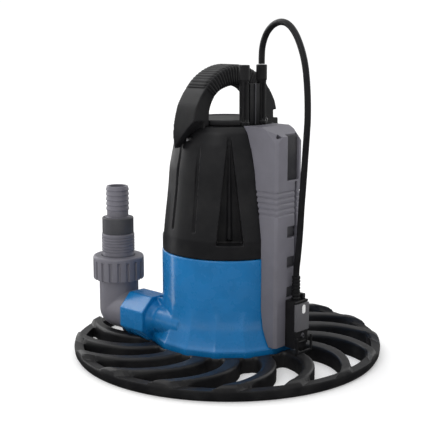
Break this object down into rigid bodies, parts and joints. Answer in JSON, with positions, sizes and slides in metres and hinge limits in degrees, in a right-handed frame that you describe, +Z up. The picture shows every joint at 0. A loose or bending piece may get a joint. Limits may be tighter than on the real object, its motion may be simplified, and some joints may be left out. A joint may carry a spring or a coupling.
{
  "type": "submersible utility pump with level sensor",
  "caption": "Submersible pool-cover pump on a wide slotted base disc, with carrying handle, sliding level sensor, swivelling hose elbow and union nut.",
  "frame": {"origin": "centre of the base disc's underside, where the pump rests", "axes": "+Z up along the motor shaft, +X towards the level-sensor box, -X towards the hose elbow, +Y across the handle"},
  "size_m": [0.33, 0.33, 0.3528],
  "materials": {
    "black_plastic": "satin",
    "blue_plastic": "semi-gloss",
    "grey_plastic": "satin",
    "dark_grey_plastic": "satin",
    "white_plastic": "gloss",
    "rubber": "matte",
    "steel": "satin",
    "lamination": "satin",
    "copper": "enamelled",
    "cast_bracket": "cast",
    "seal_ceramic": "gloss",
    "board": "satin"
  },
  "bodies": {
    "pump": {"base_disc": "black_plastic", "base_screw_1": "steel", "base_screw_2": "steel", "base_screw_3": "steel", "base_screw_4": "steel", "strainer_ring": "black_plastic", "suction_plate": "black_plastic", "volute_casing": "blue_plastic", "housing_screw_1": "steel", "housing_screw_2": "steel", "housing_screw_3": "steel", "housing_screw_4": "steel", "outlet_seal": "rubber", "motor_housing": "black_plastic", "housing_seal": "rubber", "stator_core": "lamination", "winding_lower": "copper", "winding_upper": "copper", "motor_can": "steel", "lower_bearing_bracket": "cast_bracket", "lower_bearing": "steel", "upper_bearing_bracket": "cast_bracket", "upper_bearing": "steel", "shaft_seal": "rubber", "run_capacitor": "white_plastic", "top_cover": "black_plastic", "handle": "black_plastic", "handle_grip": "rubber", "handle_screw_1": "steel", "handle_screw_2": "steel", "power_cord_gland": "black_plastic", "sensor_cord_gland": "black_plastic", "gland_bridge": "dark_grey_plastic", "sensor_box": "grey_plastic", "recess_cover": "dark_grey_plastic", "track_insert": "dark_grey_plastic", "control_board": "board", "relay": "black_plastic", "box_screw_1": "steel", "box_screw_2": "steel", "sensor_guard": "black_plastic", "sensor_cable": "rubber"},
    "rotor": {"motor_shaft": "steel", "rotor_core": "lamination", "impeller": "black_plastic", "impeller_nut": "steel", "rotating_seal": "seal_ceramic"},
    "elbow": {"elbow": "grey_plastic", "adapter_gasket": "rubber"},
    "union_nut": {"union_nut": "grey_plastic"},
    "adapter": {"hose_adapter": "grey_plastic", "adapter_sleeve": "dark_grey_plastic"},
    "sensor": {"sensor_carriage": "black_plastic", "sensor_plate": "dark_grey_plastic", "sensor_window": "white_plastic", "sensor_electrode": "steel", "cable_boot": "rubber"},
    "latch": {"sensor_latch": "black_plastic"}
  },
  "joints": [
    {"name": "rotor_spin", "type": "hinge", "parent": "pump", "child": "rotor", "pos_m": [0, 0, 0.1], "axis": [0, 0, 1], "continuous": true},
    {"name": "elbow_turn", "type": "hinge", "parent": "pump", "child": "elbow", "pos_m": [-0.083, -0.057, 0.0365], "axis": [1, 0, 0], "range_deg": [-60, 60]},
    {"name": "nut_turn", "type": "hinge", "parent": "elbow", "child": "union_nut", "pos_m": [-0.112, -0.057, 0.078], "axis": [0, 0, 1], "continuous": true},
    {"name": "adapter_turn", "type": "hinge", "parent": "elbow", "child": "adapter", "pos_m": [-0.112, -0.057, 0.09], "axis": [0, 0, 1], "continuous": true},
    {"name": "sensor_slide", "type": "slide", "parent": "pump", "child": "sensor", "axis": [0, 0, 1], "range_m": [0, 0.093], "deforming": ["sensor_cable"]},
    {"name": "latch_press", "type": "slide", "parent": "sensor", "child": "latch", "axis": [0, 0, -1], "range_m": [0, 0.0015], "stiffness_N_per_m": 300}
  ]
}
